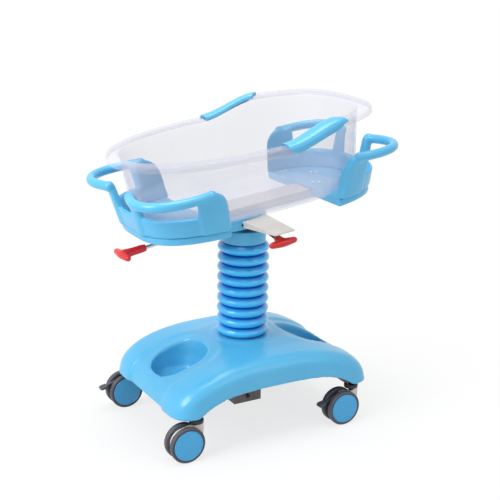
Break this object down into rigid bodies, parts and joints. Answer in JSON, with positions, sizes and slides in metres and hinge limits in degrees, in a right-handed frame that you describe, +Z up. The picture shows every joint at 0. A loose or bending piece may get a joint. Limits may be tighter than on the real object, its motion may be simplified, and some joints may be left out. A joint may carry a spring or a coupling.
{
  "type": "hospital bassinet",
  "caption": "Hospital bassinet: clear tub on a tilting carrier with blue end guards, a height column in a ribbed bellows and a moulded caster base.",
  "frame": {"origin": "on the floor under the middle of the whole bassinet's box", "axes": "+Z up, +X towards the head end, -Y towards the side lever"},
  "size_m": [0.799, 0.499, 0.9077],
  "materials": {
    "blue_plastic": "satin gloss moulded",
    "bellows_rubber": "glossy",
    "clear_plastic": "clear polished",
    "red_plastic": "gloss",
    "white_steel": "powder coat",
    "grey_steel": "satin paint",
    "bright_steel": "plated",
    "dark_steel": "black oxide",
    "tyre_rubber": "smooth",
    "black_plastic": "matt",
    "hood_plastic": "satin"
  },
  "bodies": {
    "base": {"base_cover": "blue_plastic", "chassis": "grey_steel", "column_box": "grey_steel", "column_box_screw": "dark_steel", "column_outer_tube": "bright_steel", "column_guide_bush": "black_plastic", "gas_spring_cylinder": "black_plastic", "bellows": "bellows_rubber", "caster_foot_near_collar": "black_plastic", "caster_foot_far_collar": "black_plastic", "caster_head_near_collar": "black_plastic", "caster_head_far_collar": "black_plastic"},
    "column": {"column_inner_tube": "bright_steel", "gas_spring_rod": "bright_steel", "column_head": "grey_steel", "column_sleeve": "blue_plastic", "tilt_pin": "bright_steel", "tilt_sector": "dark_steel"},
    "carrier": {"spine": "white_steel", "side_arm": "white_steel", "foot_arm": "white_steel", "side_lever_pin": "dark_steel", "foot_lever_pin": "dark_steel", "foot_guard": "blue_plastic", "foot_tray": "blue_plastic", "head_guard": "blue_plastic", "head_tray": "blue_plastic"},
    "side_lever": {"side_lever": "dark_steel", "side_lever_handle": "red_plastic"},
    "foot_lever": {"foot_lever": "bright_steel", "foot_lever_handle": "red_plastic"},
    "tub": {"tub": "clear_plastic", "rim_grip_near": "blue_plastic", "rim_grip_far": "blue_plastic"},
    "caster_foot_near_swivel": {"caster_foot_near_hood": "hood_plastic", "caster_foot_near_axle": "bright_steel"},
    "caster_foot_near_wheel_near": {"caster_foot_near_wheel_near": "tyre_rubber", "caster_foot_near_cap_near": "blue_plastic"},
    "caster_foot_near_wheel_far": {"caster_foot_near_wheel_far": "tyre_rubber", "caster_foot_near_cap_far": "blue_plastic"},
    "caster_foot_far_swivel": {"caster_foot_far_hood": "hood_plastic", "caster_foot_far_axle": "bright_steel"},
    "caster_foot_far_wheel_near": {"caster_foot_far_wheel_near": "tyre_rubber", "caster_foot_far_cap_near": "blue_plastic"},
    "caster_foot_far_wheel_far": {"caster_foot_far_wheel_far": "tyre_rubber", "caster_foot_far_cap_far": "blue_plastic"},
    "caster_foot_far_brake": {"caster_foot_far_brake_pedal": "black_plastic"},
    "caster_head_near_swivel": {"caster_head_near_hood": "hood_plastic", "caster_head_near_axle": "bright_steel"},
    "caster_head_near_wheel_near": {"caster_head_near_wheel_near": "tyre_rubber", "caster_head_near_cap_near": "blue_plastic"},
    "caster_head_near_wheel_far": {"caster_head_near_wheel_far": "tyre_rubber", "caster_head_near_cap_far": "blue_plastic"},
    "caster_head_near_brake": {"caster_head_near_brake_pedal": "black_plastic"},
    "caster_head_far_swivel": {"caster_head_far_hood": "hood_plastic", "caster_head_far_axle": "bright_steel"},
    "caster_head_far_wheel_near": {"caster_head_far_wheel_near": "tyre_rubber", "caster_head_far_cap_near": "blue_plastic"},
    "caster_head_far_wheel_far": {"caster_head_far_wheel_far": "tyre_rubber", "caster_head_far_cap_far": "blue_plastic"}
  },
  "joints": [
    {"name": "column_height", "type": "slide", "parent": "base", "child": "column", "axis": [0, 0, 1], "range_m": [-0.1, 0.06], "deforming": ["bellows"]},
    {"name": "tub_tilt", "type": "hinge", "parent": "column", "child": "carrier", "pos_m": [0.00346, 0, 0.6], "axis": [0, -1, 0], "range_deg": [-19, 5]},
    {"name": "side_lever_lift", "type": "hinge", "parent": "carrier", "child": "side_lever", "pos_m": [0.00504, -0.058, 0.5871], "axis": [-0.9925, 0, -0.1219], "range_deg": [0, 6], "stiffness_Nm_per_rad": 4, "springref_deg": -6.88},
    {"name": "foot_lever_lift", "type": "hinge", "parent": "carrier", "child": "foot_lever", "pos_m": [-0.05749, 0, 0.57942], "axis": [0, 1, 0], "range_deg": [0, 3], "stiffness_Nm_per_rad": 6, "springref_deg": -6.88},
    {"name": "tub_lift_off", "type": "slide", "parent": "carrier", "child": "tub", "axis": [-0.1219, 0, 0.9925], "range_m": [0, 0.3]},
    {"name": "caster_foot_near_swivel", "type": "hinge", "parent": "base", "child": "caster_foot_near_swivel", "pos_m": [-0.24554, -0.197, 0.09], "axis": [0, 0, 1], "continuous": true},
    {"name": "caster_foot_near_wheel_near_spin", "type": "hinge", "parent": "caster_foot_near_swivel", "child": "caster_foot_near_wheel_near", "pos_m": [-0.27954, -0.197, 0.05], "axis": [0, 1, 0], "continuous": true},
    {"name": "caster_foot_near_wheel_far_spin", "type": "hinge", "parent": "caster_foot_near_swivel", "child": "caster_foot_near_wheel_far", "pos_m": [-0.27954, -0.197, 0.05], "axis": [0, 1, 0], "continuous": true},
    {"name": "caster_foot_far_swivel", "type": "hinge", "parent": "base", "child": "caster_foot_far_swivel", "pos_m": [-0.24554, 0.197, 0.09], "axis": [0, 0, 1], "continuous": true},
    {"name": "caster_foot_far_wheel_near_spin", "type": "hinge", "parent": "caster_foot_far_swivel", "child": "caster_foot_far_wheel_near", "pos_m": [-0.27954, 0.197, 0.05], "axis": [0, 1, 0], "continuous": true},
    {"name": "caster_foot_far_wheel_far_spin", "type": "hinge", "parent": "caster_foot_far_swivel", "child": "caster_foot_far_wheel_far", "pos_m": [-0.27954, 0.197, 0.05], "axis": [0, 1, 0], "continuous": true},
    {"name": "caster_foot_far_brake", "type": "hinge", "parent": "caster_foot_far_swivel", "child": "caster_foot_far_brake", "pos_m": [-0.27554, 0.197, 0.08824], "axis": [0, -1, 0], "range_deg": [0, 10], "stiffness_Nm_per_rad": 1, "springref_deg": -5.73},
    {"name": "caster_head_near_swivel", "type": "hinge", "parent": "base", "child": "caster_head_near_swivel", "pos_m": [0.25246, -0.197, 0.09], "axis": [0, 0, 1], "continuous": true},
    {"name": "caster_head_near_wheel_near_spin", "type": "hinge", "parent": "caster_head_near_swivel", "child": "caster_head_near_wheel_near", "pos_m": [0.21846, -0.197, 0.05], "axis": [0, 1, 0], "continuous": true},
    {"name": "caster_head_near_wheel_far_spin", "type": "hinge", "parent": "caster_head_near_swivel", "child": "caster_head_near_wheel_far", "pos_m": [0.21846, -0.197, 0.05], "axis": [0, 1, 0], "continuous": true},
    {"name": "caster_head_near_brake", "type": "hinge", "parent": "caster_head_near_swivel", "child": "caster_head_near_brake", "pos_m": [0.22246, -0.197, 0.08824], "axis": [0, -1, 0], "range_deg": [0, 10], "stiffness_Nm_per_rad": 1, "springref_deg": -5.73},
    {"name": "caster_head_far_swivel", "type": "hinge", "parent": "base", "child": "caster_head_far_swivel", "pos_m": [0.25246, 0.197, 0.09], "axis": [0, 0, 1], "continuous": true},
    {"name": "caster_head_far_wheel_near_spin", "type": "hinge", "parent": "caster_head_far_swivel", "child": "caster_head_far_wheel_near", "pos_m": [0.21846, 0.197, 0.05], "axis": [0, 1, 0], "continuous": true},
    {"name": "caster_head_far_wheel_far_spin", "type": "hinge", "parent": "caster_head_far_swivel", "child": "caster_head_far_wheel_far", "pos_m": [0.21846, 0.197, 0.05], "axis": [0, 1, 0], "continuous": true}
  ]
}
